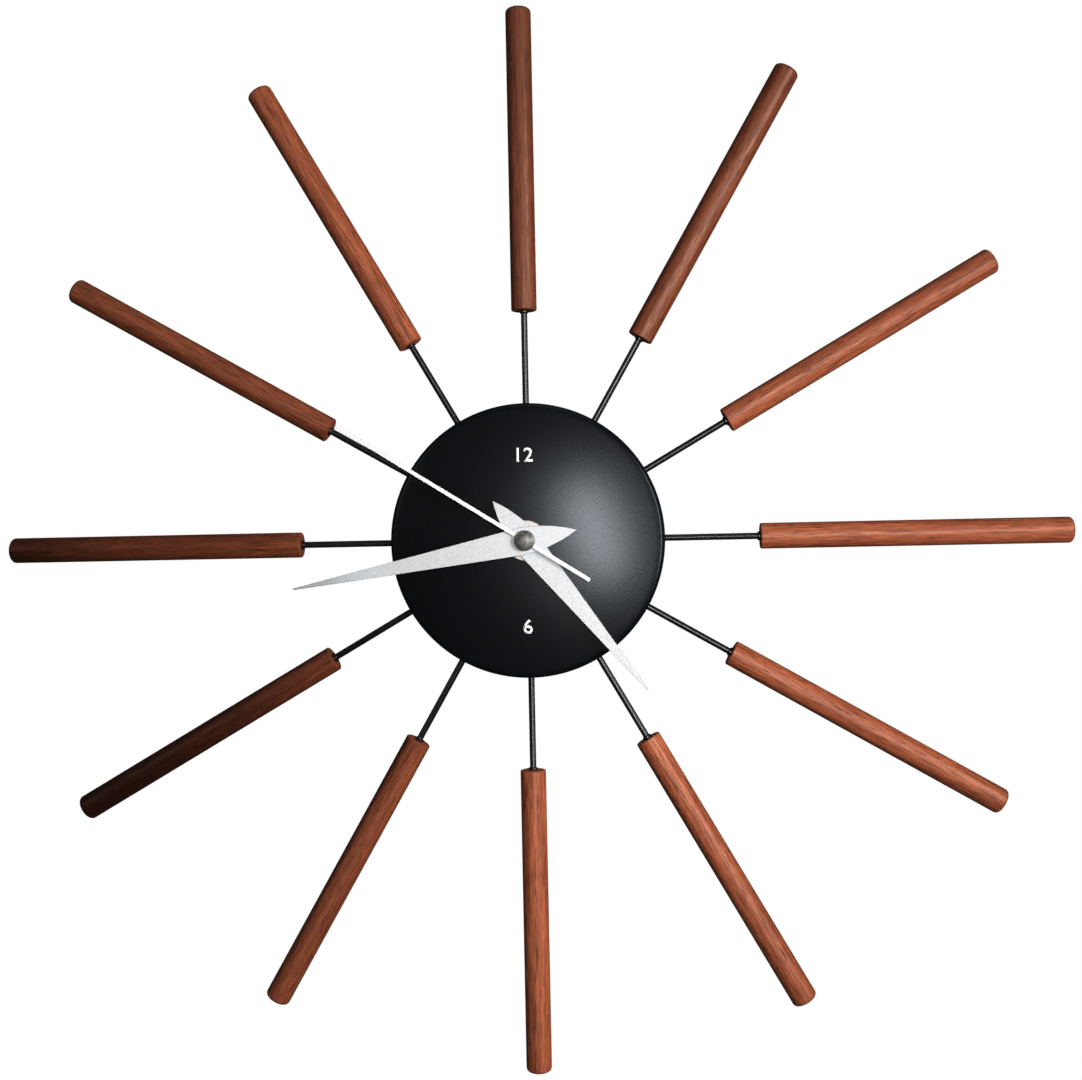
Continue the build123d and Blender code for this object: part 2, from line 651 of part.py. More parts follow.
def rotor_magnet():
    """Round magnet on the rotor's arbor."""
    back, front = case_depth("magnet")
    return Pos(*ROTOR, 0) * disc(MAGNET_RADIUS, back, front, ARBOR)


def seconds_wheel():
    """Plastic wheel and pinion moulded on the seconds arbor."""
    body = tooth_ring(SECOND_WHEEL, SECOND_MODULE, "second", INTERMEDIATE_ANGLE, False)
    body += tooth_ring(SECOND_PINION, THIRD_MODULE, "second_pinion", THIRD_ANGLE, True)
    body += disc(HUB_SLEEVE, case_depth("second")[0], case_depth("second_pinion")[0])
    return body - disc(SECOND_ARBOR, BRIDGE_FRONT, CASE_FRONT)


def seconds_arbor():
    """Long steel arbor from the bridge, through the minute tube, to the seconds hand."""
    return disc(SECOND_ARBOR, BRIDGE_FRONT, CAP_TOP - 1.4) + disc(
        PIVOT, BRIDGE_FRONT - 0.8, BRIDGE_FRONT
    )


def centre_wheel():
    """Centre wheel with the cannon pinion and the tube that carries the minute hand."""
    body = tooth_ring(CENTRE_WHEEL, CENTRE_MODULE, "centre", THIRD_ANGLE, False)
    body += tooth_ring(CANNON_PINION, MOTION_MODULE, "cannon", MINUTE_WHEEL_ANGLE, True)
    back = case_depth("centre")[0]
    body += disc(CANNON_RADIUS, back, MINUTE_LEVEL + HAND_SHEET + 0.3)
    return body - disc(SECOND_ARBOR + FIT_GAP, back, MINUTE_LEVEL + HAND_SHEET + 0.3)


def minute_wheel():
    """Motion-work wheel and pinion on a post of the case."""
    body = tooth_ring(
        MINUTE_WHEEL, MOTION_MODULE, "minute", MINUTE_WHEEL_ANGLE + 180, False
    )
    facing = MINUTE_WHEEL_ANGLE + 180
    body += tooth_ring(MINUTE_PINION, HOUR_MODULE, "minute_pinion", facing, True)
    back = case_depth("minute")[0]
    body += disc(MINUTE_SLEEVE, back, case_depth("minute_pinion")[0])
    body -= disc(0.8 + FIT_GAP, back, WALL_BACK)
    return Pos(*MINUTE, 0) * body


def hour_wheel():
    """Hour wheel with the tube that carries the hour hand."""
    body = tooth_ring(HOUR_WHEEL, HOUR_MODULE, "hour", MINUTE_WHEEL_ANGLE, False)
    back = case_depth("hour")[0]
    body += disc(HOUR_TUBE, back, HOUR_LEVEL + HAND_SHEET + 0.2)
    return body - disc(CANNON_RADIUS + FIT_GAP, back, HOUR_LEVEL + HAND_SHEET + 0.2)


def setting_knob():
    """Knob at the back with its arbor and the gear that turns the minute wheel."""
    step = 360.0 / MINUTE_WHEEL
    wheel_gap = MINUTE_WHEEL_ANGLE + 180
    gaps_round = (SETTING_ANGLE - wheel_gap) / step
    lead = (gaps_round - round(gaps_round)) * step
    facing = SETTING_ANGLE + 180 + lead * MINUTE_WHEEL / SETTING_GEAR
    body = tooth_ring(SETTING_GEAR, MOTION_MODULE, "cannon", facing, True)
    body += disc(1.0, CASE_BACK - 0.2, WALL_BACK - 0.1)
    body += disc(0.6, WALL_BACK - 0.1, WALL_BACK + 0.6)
    knob = disc(KNOB_RADIUS, 1.0, CASE_BACK - 0.2)
    for notch in range(24):
        knob -= Pos(*polar_point(CENTRE, KNOB_RADIUS, notch * 15), 1.0) * Cylinder(0.3, 4, align=MIN)
    return Pos(*SETTING, 0) * (body + knob)


# ------------------------------------------------------------------ nodes
def build_nodes():
    """Every separate piece of the clock, by its node name."""
    nodes = {}
    for hour in range(HOURS):
        angle = hour * 360 / HOURS
        nodes[f"wood_dowel_{hour or HOURS:02d}"] = wood_dowel(angle)
        nodes[f"spoke_rod_{hour or HOURS:02d}"] = spoke_rod(angle)
    nodes["rod_nuts"] = Compound(children=rod_nuts())
    nodes["carrier_ring"] = carrier_ring()
    nodes["dial_dome"] = dial_dome()
    nodes["back_plate"] = back_plate()
    nodes["back_plate_screws"] = Compound(children=back_plate_screws())
    nodes["centre_nut"] = centre_nut()
    nodes["centre_washer"] = centre_washer()
    nodes["rubber_washer"] = rubber_washer()
    nodes["hour_hand"] = dart_hand(HOUR_REACH, HOUR_TAIL, HOUR_WIDTH, HOUR_LEVEL, HOUR_ANGLE)
    nodes["hour_collet"] = collet(HOUR_TUBE, HOUR_LEVEL - 0.6, HOUR_LEVEL)
    nodes["minute_hand"] = dart_hand(
        MINUTE_REACH, MINUTE_TAIL, MINUTE_WIDTH, MINUTE_LEVEL, MINUTE_ANGLE
    )
    nodes["minute_collet"] = collet(CANNON_RADIUS, MINUTE_LEVEL - 0.8, MINUTE_LEVEL)
    nodes["second_hand"] = second_hand()
    nodes["second_hand_cap"] = second_hand_cap()
    nodes["movement_case"] = movement_case()
    nodes["movement_cover"] = movement_cover()
    nodes["train_bridge"] = train_bridge()
    nodes["battery"] = battery()
    nodes["contact_positive"] = contact(1, False)
    nodes["contact_negative"] = contact(-1, True)
    nodes["circuit_board"] = circuit_board()
    nodes["control_chip"] = control_chip()
    nodes["quartz_crystal"] = quartz_crystal()
    nodes["coil_core"] = coil_core()
    nodes["coil_winding"] = coil_winding()
    nodes["stator"] = stator()
    nodes["rotor_pinion"] = rotor_pinion()
    nodes["rotor_magnet"] = rotor_magnet()
    nodes["intermediate_wheel"] = intermediate_wheel()
    nodes["seconds_wheel"] = seconds_wheel()
    nodes["seconds_arbor"] = seconds_arbor()
    nodes["third_wheel"] = third_wheel()
    nodes["centre_wheel"] = centre_wheel()
    nodes["minute_wheel"] = minute_wheel()
    nodes["hour_wheel"] = hour_wheel()
    nodes["setting_knob"] = setting_knob()
    return nodes


def main():
    """Turn every piece into the row frame and write it to its own file."""
    os.makedirs("parts", exist_ok=True)
    for name, shape in build_nodes().items():
        export_step(shape.rotate(Axis.X, 90), f"parts/{name}.step")


main()
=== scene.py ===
"""Finish of a sunburst wall clock: wood dowels, enamelled rods, a satin dome and fittings."""

import math
import random

import bpy
from bpy.props import FloatProperty, FloatVectorProperty, IntProperty, PointerProperty
from mathutils import Matrix, Quaternion, Vector


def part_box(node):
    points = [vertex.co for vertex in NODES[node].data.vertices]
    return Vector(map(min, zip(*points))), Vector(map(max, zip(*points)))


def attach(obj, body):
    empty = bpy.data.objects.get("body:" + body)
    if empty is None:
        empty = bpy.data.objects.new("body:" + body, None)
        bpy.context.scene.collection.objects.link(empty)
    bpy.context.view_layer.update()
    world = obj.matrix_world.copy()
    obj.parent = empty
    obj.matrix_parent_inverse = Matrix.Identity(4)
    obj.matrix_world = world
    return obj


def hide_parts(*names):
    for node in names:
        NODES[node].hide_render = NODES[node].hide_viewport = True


bl_info = {
    "name": "Sunburst Clock Finish",
    "version": (1, 0, 0),
    "blender": (4, 5, 0),
    "location": "View3D > Sidebar > Clock",
    "description": "Models and finishes the visible pieces of a sunburst wall clock",
    "category": "Object",
}

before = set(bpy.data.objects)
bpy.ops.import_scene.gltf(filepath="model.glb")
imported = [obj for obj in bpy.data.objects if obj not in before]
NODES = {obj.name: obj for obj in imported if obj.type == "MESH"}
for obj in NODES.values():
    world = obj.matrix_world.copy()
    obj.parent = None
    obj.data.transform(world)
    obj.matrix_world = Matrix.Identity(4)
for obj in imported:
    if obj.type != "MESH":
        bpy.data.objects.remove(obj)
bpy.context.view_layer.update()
MM = 0.001
HOURS = 12


# ---------------------------------------------------------------- sizes read from the frame
def hour_name(stem, hour):
    """Node name of one of the twelve like pieces."""
    return f"{stem}_{hour or HOURS:02d}"


DOWEL_LOW, DOWEL_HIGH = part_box("wood_dowel_03")
ROD_LOW, ROD_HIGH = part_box("spoke_rod_03")
DOME_LOW, DOME_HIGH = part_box("dial_dome")
CAP_LOW, CAP_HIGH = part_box("second_hand_cap")
DOWEL_RADIUS = (DOWEL_HIGH.z - DOWEL_LOW.z) / 2
SPOKE_DEPTH = (DOWEL_HIGH.y + DOWEL_LOW.y) / 2
COLLAR_RADIUS = (ROD_HIGH.z - ROD_LOW.z) / 2
HUB_RADIUS = DOME_HIGH.x
CAP_RADIUS = CAP_HIGH.x


# ---------------------------------------------------------------- sizes of the made shapes
MERGE = 0.001 * MM           # points closer than this are one point
DOME_SPHERE = 341 * MM       # radius of the dome's sphere
DOME_FILLET = 3 * MM
DOME_SHEET = 1 * MM
DOME_HOLE = 4.3 * MM
DOME_SIDES = 200
DOWEL_CHAMFER = 0.4 * MM
DOWEL_CROWN = 0.35 * MM      # rise of the dowel's domed end inside its rounding
DOWEL_SIDES = 72
DOWEL_LENGTHS = 12           # stretches of the dowel's straight side
ROD_RADIUS = 1.5 * MM
ROD_CHAMFER = 0.3 * MM
ROD_SIDES = 40
COLLAR_LENGTH = 1.2 * MM     # shoulder of the rod under the dowel
COLLAR_BLEND = 0.35 * MM
CAP_WALL = 0.9 * MM          # straight side of the cap
CAP_RIM = 0.35 * MM
CAP_CHAMFER = 0.15 * MM
CAP_SIDES = 96
INK_FILM = 0.03 * MM
INK_WEIGHT = 0.12 * MM       # thickening of the numerals' strokes
TYPE_HEIGHT = 0.69           # height of a numeral at type size 1
FITTING_EDGE = 0.08 * MM
PLATE_EDGE = 0.25 * MM
BATTERY_BAND = 13 * MM       # length of the sleeve's bronze band


# ---------------------------------------------------------------- settings
class DowelSettings(bpy.types.PropertyGroup):
    """Wood dowels."""

    light: FloatVectorProperty(
        name="Light grain", description="Colour of the early wood", subtype="COLOR",
        default=(0.47, 0.124, 0.052), min=0, max=1,
    )
    dark: FloatVectorProperty(
        name="Dark grain", description="Colour of the late wood", subtype="COLOR",
        default=(0.13, 0.026, 0.0105), min=0, max=1,
    )
    pore: FloatVectorProperty(
        name="Pores", description="Colour of the open pores", subtype="COLOR",
        default=(0.050, 0.012, 0.006), min=0, max=1,
    )
    rounding: FloatProperty(
        name="End rounding", description="Radius of the dowel's outer edge",
        default=1.9 * MM, unit="LENGTH",
    )
    seed: IntProperty(name="Seed", description="Where in the log each dowel is cut", default=7)
    # Each dowel's lightness: partly the wood's own tone, partly painted shade fitted to how the
    # lights fall on that dowel; the darkest values carry the most painted shade.
    tones_and_shade: FloatVectorProperty(
        name="Tones", description="How light each dowel's wood is, clockwise from twelve",
        size=12, min=0, max=2,
        default=(0.44, 0.49, 0.75, 0.80, 0.84, 0.94, 1.02, 0.66, 0.44, 0.53, 0.62, 0.95),
    )


class HubSettings(bpy.types.PropertyGroup):
    """Dome, rods and printed numerals."""

    dome: FloatVectorProperty(
        name="Dome", description="Colour of the dome's powder coat", subtype="COLOR",
        default=(0.0014, 0.0016, 0.0021), min=0, max=1,
    )
    enamel: FloatVectorProperty(
        name="Rods", description="Colour of the rods' black enamel", subtype="COLOR",
        default=(0.0035, 0.0035, 0.0038), min=0, max=1,
    )
    print_white: FloatVectorProperty(
        name="Print", description="Colour of the printed numerals", subtype="COLOR",
        default=(0.84, 0.85, 0.85), min=0, max=1,
    )
    numeral_height: FloatProperty(
        name="Numeral height", description="Height of the printed numerals",
        default=6.4 * MM, unit="LENGTH",
    )
    numeral_radius: FloatProperty(
        name="Numeral distance", description="From the hands' axis to the numerals' middle",
        default=39.5 * MM, unit="LENGTH",
    )


class HandSettings(bpy.types.PropertyGroup):
    """Hands and their cap."""

    silver: FloatVectorProperty(
        name="Silver", description="Colour of the dart hands' lacquer", subtype="COLOR",
        default=(0.63, 0.64, 0.65), min=0, max=1,
    )
    white: FloatVectorProperty(
        name="White", description="Colour of the second hand", subtype="COLOR",
        default=(0.80, 0.80, 0.80), min=0, max=1,
    )
    edge: FloatProperty(
        name="Edge", description="Rounding of the stamped edges", default=0.17 * MM,
        unit="LENGTH",
    )


class StageSettings(bpy.types.PropertyGroup):
    """Camera, floor and lights."""

    key_power: FloatProperty(
        name="Key light", description="Power of the soft light right of the camera",
        default=4.6, unit="POWER",
    )
    fill_power: FloatProperty(
        name="Fill light", description="Power of the near light on the right", default=1.2,
        unit="POWER",
    )
    side_power: FloatProperty(
        name="Side light", description="Power of the tall light far on the right", default=5.0,
        unit="POWER",
    )
    left_power: FloatProperty(
        name="Room lights", description="Power of the weak lights on the left and above",
        default=0.8, unit="POWER",
    )
    rear_power: FloatProperty(
        name="Rear light", description="Power of the light behind the clock", default=14.0,
        unit="POWER",
    )
    lens: FloatProperty(
        name="Lens", description="Focal length for a 36 mm sensor", default=43.25,
        unit="CAMERA",
    )
    floor_drop: FloatProperty(
        name="Floor drop", description="From the hands' axis down to the floor", default=0.75,
        unit="LENGTH",
    )


class ClockSettings(bpy.types.PropertyGroup):
    """All the settings of the clock."""

    dowels: PointerProperty(type=DowelSettings)
    hub: PointerProperty(type=HubSettings)
    hands: PointerProperty(type=HandSettings)
    stage: PointerProperty(type=StageSettings)


# ---------------------------------------------------------------- shader helpers
class Value:
    """A socket on which Python's arithmetic adds Math nodes."""

    def __init__(self, graph, socket):
        self.graph = graph
        self.socket = socket

    def math(self, operation, first, second):
        return self.graph.node("Math", {"operation": operation}, {0: first, 1: second})

    def __add__(self, other):
        return self.math("ADD", self, other)

    def __sub__(self, other):
        return self.math("SUBTRACT", self, other)

    def __rsub__(self, other):
        return self.math("SUBTRACT", other, self)

    def __mul__(self, other):
        return self.math("MULTIPLY", self, other)

    __radd__ = __add__
    __rmul__ = __mul__


class Graph:
    """A node tree in which one method adds every node."""

    def __init__(self, tree):
        self.tree = tree

    def node(self, kind, settings=None, inputs=None, output=0):
        """Add one node: its settings first, then what goes into its sockets."""
        added = self.tree.nodes.new("ShaderNode" + kind)
        for key, setting in (settings or {}).items():
            setattr(added, key, setting)
        for key, given in (inputs or {}).items():
            self.feed(added.inputs[key], given)
        return Value(self, added.outputs[output])

    def feed(self, socket, given):
        """Link a Value into a socket, or set a plain number, vector or colour on it."""
        if isinstance(given, Value):
            self.tree.links.new(given.socket, socket)
        elif socket.type == "RGBA":
            socket.default_value = tuple(given)[:3] + (1.0,)
        else:
            socket.default_value = given


class Shader(Graph):
    """A Principled material whose patterns are written as expressions."""

    def __init__(self, name, slot_name, roughness=0.5, metallic=0.0, **fixed):
        self.material = bpy.data.materials.new(name)
        self.material.use_nodes = True
        super().__init__(self.material.node_tree)
        self.surface = self.tree.nodes["Principled BSDF"]
        self.slot_name = slot_name
        self.set("Roughness", roughness)
        self.set("Metallic", metallic)
        for socket_name, number in fixed.items():
            self.set(socket_name.replace("_", " "), number)

    def place(self, scale=(1.0, 1.0, 1.0), centre=(0.0, 0.0, 0.0), attribute=None):
        """Object coordinates, or an attribute's, moved to a centre and scaled."""
        if attribute:
            source = self.node("Attribute", {"attribute_name": attribute}, output="Vector")
        else:
            source = self.node("TexCoord", output="Object")
        moved = self.node("VectorMath", {"operation": "SUBTRACT"}, {0: source, 1: centre})
        return self.node("Mapping", {"vector_type": "POINT"}, {"Vector": moved, "Scale": scale})

    def noise(self, place, scale, detail=2.0, rough=0.5, distortion=0.0):
        """Noise from 0 to 1."""
        inputs = {"Vector": place, "Scale": scale, "Detail": detail, "Roughness": rough}
        return self.node("TexNoise", None, {**inputs, "Distortion": distortion})

    def spread(self, value, low, high, out_low=0.0, out_high=1.0):
        """Value stretched from one range to another and held inside it."""
        inputs = {0: value, 1: low, 2: high, 3: out_low, 4: out_high}
        return self.node("MapRange", {"clamp": True}, inputs)

    def blend(self, factor, first, second, mode="MIX"):
        """Mix of two colours."""
        settings = {"data_type": "RGBA", "blend_type": mode}
        return self.node("Mix", settings, {0: factor, 6: first, 7: second}, output=2)

    def shaded_edges(self, colour, edge):
        """Colour of a stamped plate's flat faces, with painted shade of another colour along its
        edges.
        """
        normal = self.node("NewGeometry", output="True Normal")
        facing = self.node("VectorMath", {"operation": "ABSOLUTE"}, {0: normal})
        across = self.node("SeparateXYZ", None, {0: facing}, output="Y")
        return self.blend(self.spread(across, 0.75, 0.97), edge, colour)

    def bump(self, height, strength, distance):
        """Relief on the surface."""
        inputs = {"Height": height, "Strength": strength, "Distance": distance}
        self.feed(self.surface.inputs["Normal"], self.node("Bump", None, inputs))

    def set(self, socket_name, value):
        """Feed one of the surface's sockets."""
        self.feed(self.surface.inputs[socket_name], value)


def shade(base, amount):
    """Colour made lighter or darker."""
    return tuple(min(1.0, channel * amount) for channel in base[:3])


# ---------------------------------------------------------------- materials
def wood_material(settings):
    """Oiled hardwood: growth bands, short fibre streaks and open pores, all along the dowel."""
    wood = Shader("dowel wood", "dowel_wood", 0.42, Specular_IOR_Level=0.9,
                  Specular_Tint=(1.0, 0.72, 0.58, 1.0))

    def grain(stretch, *pattern):
        return wood.noise(wood.place((1.0, 1.0, stretch), attribute="grain"), *pattern)

    drift = grain(0.15, 110.0, 2.0)
    bands = grain(0.035, 620.0, 3.0, 0.6, 0.4)
    streaks = grain(0.085, 1350.0, 3.0, 0.65, 0.3)
    fibres = grain(0.08, 2800.0, 3.0, 0.7)
    figure = wood.spread(bands * 0.3 + streaks * 0.5 + drift * 0.2, 0.36, 0.64)
    colour = wood.blend(figure, settings.dark, settings.light)
    # The tone attribute scales the wood colour: partly the dowel's own tone, partly painted shade
    # that darkens some dowels as the lights would.
    tone_and_shade = wood.node("Attribute", {"attribute_name": "tone_and_shade"}, output="Fac")
    speckle = wood.spread(fibres, 0.3, 0.7, 0.72, 1.25) * tone_and_shade
    grey = wood.node("CombineColor", None, {0: speckle, 1: speckle, 2: speckle})
    colour = wood.blend(1.0, colour, grey, "MULTIPLY")
    dashes = grain(0.055, 2000.0, 1.0, 0.4)
    pores = wood.spread(dashes, 0.57, 0.66) * wood.spread(bands, 0.62, 0.44)
    wood.set("Base Color", wood.blend(pores * 0.85, colour, settings.pore))
    wood.set("Roughness", wood.spread(streaks, 0.3, 0.7, 0.47, 0.37) + pores * 0.25)
    wood.bump(streaks * 0.3 + fibres * 0.12 - pores, 0.22, 0.05 * MM)
    return wood


def dome_material(settings):
    """Satin black powder coat with a very fine orange-peel texture."""
    coat = Shader("dome powder coat", "dome_black", 0.27, Specular_IOR_Level=0.46,
                  Specular_Tint=(0.86, 0.93, 1.0, 1.0))
    fine = coat.noise(coat.place(), 1900.0, 3.0, 0.6)
    coat.set("Base Color", coat.blend(coat.spread(fine, 0.35, 0.7), settings.dome,
                                      shade(settings.dome, 1.8)))
    coat.set("Roughness", coat.spread(fine, 0.3, 0.7, 0.262, 0.284))
    coat.bump(fine, 0.030, 0.03 * MM)
    return coat


def enamel_material(settings):
    """Glossy black enamel with a faint mottle."""
    enamel = Shader("rod enamel", "rod_black", 0.25, Specular_IOR_Level=0.8)
    mottle = enamel.noise(enamel.place(), 700.0, 3.0)
    enamel.set("Base Color", enamel.blend(mottle, settings.enamel, shade(settings.enamel, 1.6)))
    enamel.set("Roughness", enamel.spread(mottle, 0.3, 0.7, 0.22, 0.28))
    return enamel


def silver_material(settings):
    """Silver lacquer full of fine flakes."""
    silver = Shader("silver lacquer", "hand_silver", 0.42, 0.27, Specular_IOR_Level=0.5)
    place = silver.place()
    flakes = silver.noise(place, 3000.0, 2.0, 0.7)
    clouds = silver.noise(place, 700.0, 3.0, 0.6)
    glitter = silver.spread(flakes * 0.8 + clouds * 0.2, 0.37, 0.53)
    film = silver.blend(glitter, shade(settings.silver, 0.60), settings.silver)
    # The hands' edges get a dark colour: painted shade, like the contact shadows between
    # overlapping hands.
    silver.set("Base Color", silver.shaded_edges(film, shade(settings.silver, 0.12)))
    silver.set("Roughness", silver.spread(flakes, 0.3, 0.7, 0.34, 0.52))
    silver.bump(flakes, 0.28, 0.03 * MM)
    return silver


def white_material(name, slot_name, colour, edge=None):
    """White lacquer or print with a slightly uneven film, and perhaps painted shade along its
    edges.
    """
    white = Shader(name, slot_name, 0.35)
    film = white.noise(white.place(), 1800.0, 2.0)
    paint_colour = white.blend(film, shade(colour, 0.94), colour)
    if edge:
        paint_colour = white.shaded_edges(paint_colour, edge)
    white.set("Base Color", paint_colour)
    white.bump(film, 0.1, 0.02 * MM)
    return white


def cap_material():
    """Dull nickel with a fine pale grain and dark tarnish."""
    cap = Shader("cap nickel", "cap_steel", 0.4, 0.85)
    place = cap.place()
    grain = cap.noise(place, 2600.0, 3.0, 0.65)
    tarnish = cap.noise(place, 480.0, 3.0, 0.6)
    dark, pale = (0.105, 0.098, 0.09), (0.40, 0.385, 0.36)
    cap.set("Base Color", cap.blend(cap.spread(grain * 0.6 + tarnish * 0.4, 0.41, 0.58),
                                    dark, pale))
    cap.set("Roughness", cap.spread(tarnish, 0.3, 0.7, 0.34, 0.52))
    cap.bump(grain, 0.35, 0.04 * MM)
    return cap


def metal_material(name, slot_name, colour, roughness=0.3, stretch=(1.0, 1.0, 1.0), metallic=1.0):
    """Plated, rolled or turned metal with fine lines and slight tarnish."""
    metal = Shader(name, slot_name, roughness, metallic)
    lines = metal.noise(metal.place(stretch), 1500.0, 4.0, 0.6)
    tarnish = metal.noise(metal.place(), 160.0, 3.0, 0.6)
    mixed = metal.spread(lines * 0.4 + tarnish * 0.6, 0.35, 0.65)
    metal.set("Base Color", metal.blend(mixed, shade(colour, 0.72), colour))
    metal.set("Roughness", metal.spread(tarnish, 0.3, 0.7, roughness * 0.8, roughness * 1.35))
    metal.bump(lines, 0.15, 0.03 * MM)
    return metal


def plastic_material(name, slot_name, colour, roughness=0.5, grain=900.0, relief=0.25):
    """Moulded plastic with a spark-eroded grain."""
    plastic = Shader(name, slot_name, roughness)
    texture = plastic.noise(plastic.place(), grain, 3.0, 0.6)
    broad = plastic.noise(plastic.place(), 70.0, 2.0)
    plastic.set("Base Color", plastic.blend(broad, shade(colour, 0.86), shade(colour, 1.1)))
    plastic.set("Roughness", plastic.spread(texture, 0.3, 0.7, roughness * 0.85, roughness * 1.15))
    plastic.bump(texture, relief, 0.05 * MM)
    return plastic


def copper_material():
    """Enamelled copper wire wound round an axis along X."""
    copper = Shader("coil wire", "copper_wire", 0.3, 0.9)
    place = copper.place()
    waves = {"wave_type": "BANDS", "bands_direction": "X"}
    turns = copper.node("TexWave", waves, {"Vector": place, "Scale": 1400.0, "Distortion": 0.4})
    copper.set("Base Color", copper.blend(turns, (0.20, 0.06, 0.02), (0.62, 0.24, 0.09)))
    copper.bump(turns, 0.6, 0.06 * MM)
    return copper


def board_material():
    """Green lacquered board with copper tracks under the lacquer."""
    board = Shader("board lacquer", "board_green", 0.32, Coat_Weight=0.3)
    cells = {"voronoi_dimensions": "3D", "feature": "DISTANCE_TO_EDGE"}
    tracks = board.node("TexVoronoi", cells, {"Vector": board.place(), "Scale": 260.0})
    lanes = board.spread(tracks, 0.03, 0.06)
    board.set("Base Color", board.blend(lanes, (0.10, 0.26, 0.10), (0.025, 0.11, 0.045)))
    board.bump(lanes, 0.2, 0.05 * MM)
    return board


def sleeve_material():
    """Plain printed battery sleeve: a dark body with a bronze band at the positive end."""
    sleeve = Shader("battery sleeve", "battery_sleeve", 0.28, 0.5)
    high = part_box("battery")[1]
    place = sleeve.place(centre=(high.x - BATTERY_BAND, 0.0, 0.0))
    across = sleeve.node("SeparateXYZ", None, {0: place}, output="X")
    band = sleeve.spread(across, -0.1 * MM, 0.1 * MM)
    scuffs = sleeve.noise(place, 300.0, 4.0, 0.6)
    body = sleeve.blend(scuffs, (0.012, 0.014, 0.02), (0.03, 0.035, 0.045))
    sleeve.set("Base Color", sleeve.blend(band, body, (0.55, 0.30, 0.12)))
    sleeve.set("Roughness", sleeve.spread(scuffs, 0.3, 0.7, 0.22, 0.36))
    return sleeve


# ---------------------------------------------------------------- modelling helpers
def lathe(name, stations, segments):
    """Turned piece about Z: a ring is extruded from each (radius, height) to the next."""
    bpy.ops.object.select_all(action="DESELECT")
    radius, height = stations[0]
    bpy.ops.mesh.primitive_circle_add(vertices=segments, radius=radius, location=(0, 0, 0))
    piece = bpy.context.object
    piece.name = name
    bpy.ops.object.mode_set(mode="EDIT")
    bpy.ops.mesh.select_all(action="SELECT")
    bpy.ops.transform.translate(value=(0, 0, height))
    for next_radius, next_height in stations[1:]:
        move = {"value": (0, 0, next_height - height)}
        bpy.ops.mesh.extrude_region_move(TRANSFORM_OT_translate=move)
        ratio = next_radius / radius
        bpy.ops.transform.resize(value=(ratio, ratio, 1.0), center_override=(0, 0, 0))
        radius, height = next_radius, next_height
    bpy.ops.object.mode_set(mode="OBJECT")
    return piece


def close_piece(piece, caps=True):
    """Close a turned piece's open ends, merge its doubles and point its faces outwards."""
    bpy.ops.object.mode_set(mode="EDIT")
    bpy.ops.mesh.select_all(action="SELECT")
    bpy.ops.mesh.remove_doubles(threshold=MERGE)
    if caps:
        bpy.ops.mesh.select_all(action="DESELECT")
        bpy.ops.mesh.select_mode(type="EDGE")
        bpy.ops.mesh.select_non_manifold()
        bpy.ops.mesh.fill_holes(sides=0)
    bpy.ops.mesh.select_all(action="SELECT")
    bpy.ops.mesh.normals_make_consistent(inside=False)
    bpy.ops.object.mode_set(mode="OBJECT")
    bpy.ops.object.shade_smooth_by_angle(angle=math.radians(32))
    return piece


def arc_stations(centre, radius, start, end, steps):
    """Points of an arc in (radius, height), from one angle to another in degrees."""
    points = []
    for step in range(steps + 1):
        angle = math.radians(start + (end - start) * step / steps)
        points.append((centre[0] + radius * math.cos(angle), centre[1] + radius * math.sin(angle)))
    return points


def dress(piece, shader, body, *nodes):
    """Give a finished piece its material and body, and hide the nodes it stands for."""
    piece.data.materials.clear()
    piece.data.materials.append(shader.material)
    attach(piece, body)
    if nodes:
        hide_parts(*nodes)


def paint(node, shader):
    """Give a CAD node a better material."""
    slots = NODES[node].material_slots
    if not slots:
        NODES[node].data.materials.append(shader.material)
    for slot in slots:
        slot.material = shader.material


def ease_edges(node, width):
    """Round a CAD node's sharp edges with live modifiers, after its flat faces are made whole."""
    weld = NODES[node].modifiers.new("weld", "WELD")
    weld.merge_threshold = MERGE
    flats = NODES[node].modifiers.new("flats", "DECIMATE")
    flats.decimate_type = "DISSOLVE"
    flats.angle_limit = math.radians(0.5)
    bevel = NODES[node].modifiers.new("edges", "BEVEL")
    bevel.width = width
    bevel.segments = 2
    bevel.limit_method = "ANGLE"
    bevel.angle_limit = math.radians(40)
    bevel.harden_normals = False


def to_clock(hour):
    """Matrix that takes a piece along +Z out to an hour, at the rods' depth."""
    place = Matrix.Translation(Vector((0.0, SPOKE_DEPTH, 0.0)))
    return place @ Matrix.Rotation(math.radians(hour * 360 / HOURS), 4, "Y")


def to_dial():
    """Matrix that turns a piece's +Z towards the viewer."""
    return Matrix.Rotation(math.radians(90), 4, "X")


def settings_of(context):
    """The clock's settings."""
    return context.scene.sunburst_clock


# ---------------------------------------------------------------- dowels
def grain_coordinates(piece, turn, log_place, tone_and_shade):
    """Keep the dowel's own coordinates, moved to its place in the log, and its tone, which is
    partly the wood's own and partly painted shade.
    """
    piece.data.attributes.new("grain", "FLOAT_VECTOR", "POINT")
    piece.data.attributes.new("tone_and_shade", "FLOAT", "POINT")
    cut = Matrix.Translation(Vector(log_place)) @ Matrix.Rotation(turn, 4, "Z")
    grain = [cut @ vertex.co for vertex in piece.data.vertices]
    for point, place in zip(piece.data.attributes["grain"].data, grain):
        point.vector = place
    for point in piece.data.attributes["tone_and_shade"].data:
        point.value = tone_and_shade


